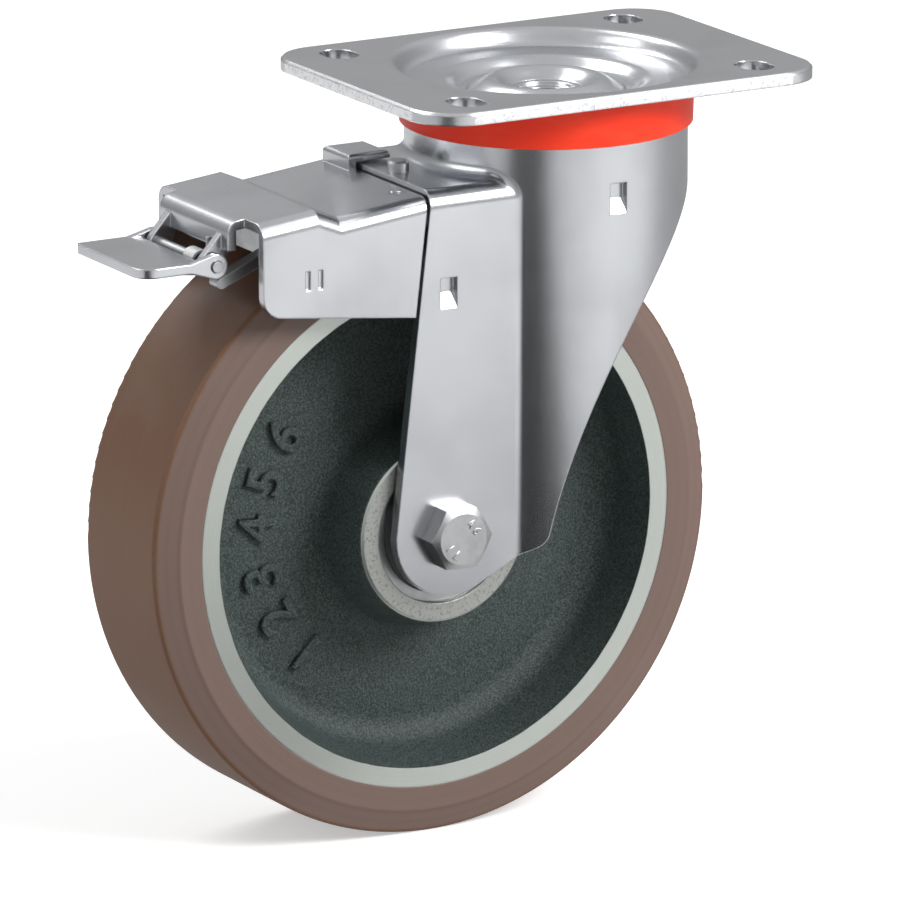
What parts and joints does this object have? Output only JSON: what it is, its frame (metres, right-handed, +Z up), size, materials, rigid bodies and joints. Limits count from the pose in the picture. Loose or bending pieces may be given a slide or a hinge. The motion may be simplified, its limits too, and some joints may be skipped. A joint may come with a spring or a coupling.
{
  "type": "swivel castor",
  "caption": "Swivel castor with slotted top plate, double ball race, pressed fork, iron-centred wheel with polyurethane tread and a rear total-lock brake with release blade.",
  "frame": {"origin": "centre of the mounting face on top of the plate, on the swivel axis", "axes": "+Z up out of the mounting face, +X along the axle towards the bolt head, the wheel and the pedal trail towards -Y"},
  "size_m": [0.11, 0.229, 0.24],
  "materials": {
    "zinc_sheet": "bright zinc plated pressed sheet",
    "bright_steel": "bright turned or ground steel",
    "red_seal": "smooth moulded orange-red seal",
    "green_iron": "dark green paint on sand-cast iron, machined rim faces",
    "brown_tread": "brown cast polyurethane, turned sides",
    "black_seal": "moulded bearing seal"
  },
  "bodies": {
    "plate": {"top_plate": "zinc_sheet", "kingpin": "zinc_sheet", "race_sleeve": "bright_steel", "lower_race": "bright_steel", "lock_ring": "bright_steel"},
    "fork": {"fork": "zinc_sheet", "dust_seal": "red_seal", "upper_balls": "bright_steel", "lower_balls": "bright_steel", "lever_bracket": "zinc_sheet", "lever_pin": "bright_steel", "axle_bolt": "zinc_sheet", "axle_tube": "bright_steel", "axle_washer": "zinc_sheet", "axle_nut": "zinc_sheet", "bearing_inner_near": "bright_steel", "bearing_inner_far": "bright_steel", "bearing_sleeve": "bright_steel", "side_spacer_near": "bright_steel", "side_spacer_far": "bright_steel", "bracket_rivet": "zinc_sheet"},
    "wheel": {"wheel_core": "green_iron", "tread": "brown_tread", "bearing_outer_near": "bright_steel", "bearing_outer_far": "bright_steel", "bearing_balls_near": "bright_steel", "bearing_balls_far": "bright_steel", "bearing_seal_near": "black_seal", "bearing_seal_far": "black_seal"},
    "pedal": {"brake_pedal": "zinc_sheet", "brake_shoe": "bright_steel", "return_spring": "bright_steel", "spring_rivet": "zinc_sheet", "release_pin": "bright_steel", "release_spring": "bright_steel"},
    "lever": {"lock_lever": "zinc_sheet"},
    "blade": {"release_blade": "zinc_sheet"}
  },
  "joints": [
    {"name": "swivel", "type": "hinge", "parent": "plate", "child": "fork", "pos_m": [0, 0, 0], "axis": [0, 0, 1], "continuous": true},
    {"name": "wheel_spin", "type": "hinge", "parent": "fork", "child": "wheel", "pos_m": [0, -0.054, -0.14], "axis": [1, 0, 0], "continuous": true},
    {"name": "pedal_press", "type": "hinge", "parent": "fork", "child": "pedal", "pos_m": [0, -0.055, -0.062], "axis": [1, 0, 0], "range_deg": [0, 8], "stiffness_Nm_per_rad": 8, "springref_deg": -5.73},
    {"name": "lock_tilt", "type": "hinge", "parent": "fork", "child": "lever", "pos_m": [0, -0.05, -0.0366], "axis": [1, 0, 0], "range_deg": [0, 5.6]},
    {"name": "blade_press", "type": "hinge", "parent": "pedal", "child": "blade", "pos_m": [0, -0.1305, -0.047], "axis": [1, 0, 0], "range_deg": [0, 12], "stiffness_Nm_per_rad": 0.3, "springref_deg": -11.46}
  ],
  "couplings": [
    {"joint": "lock_tilt", "follows": "pedal_press", "ratio": 0.7}
  ]
}
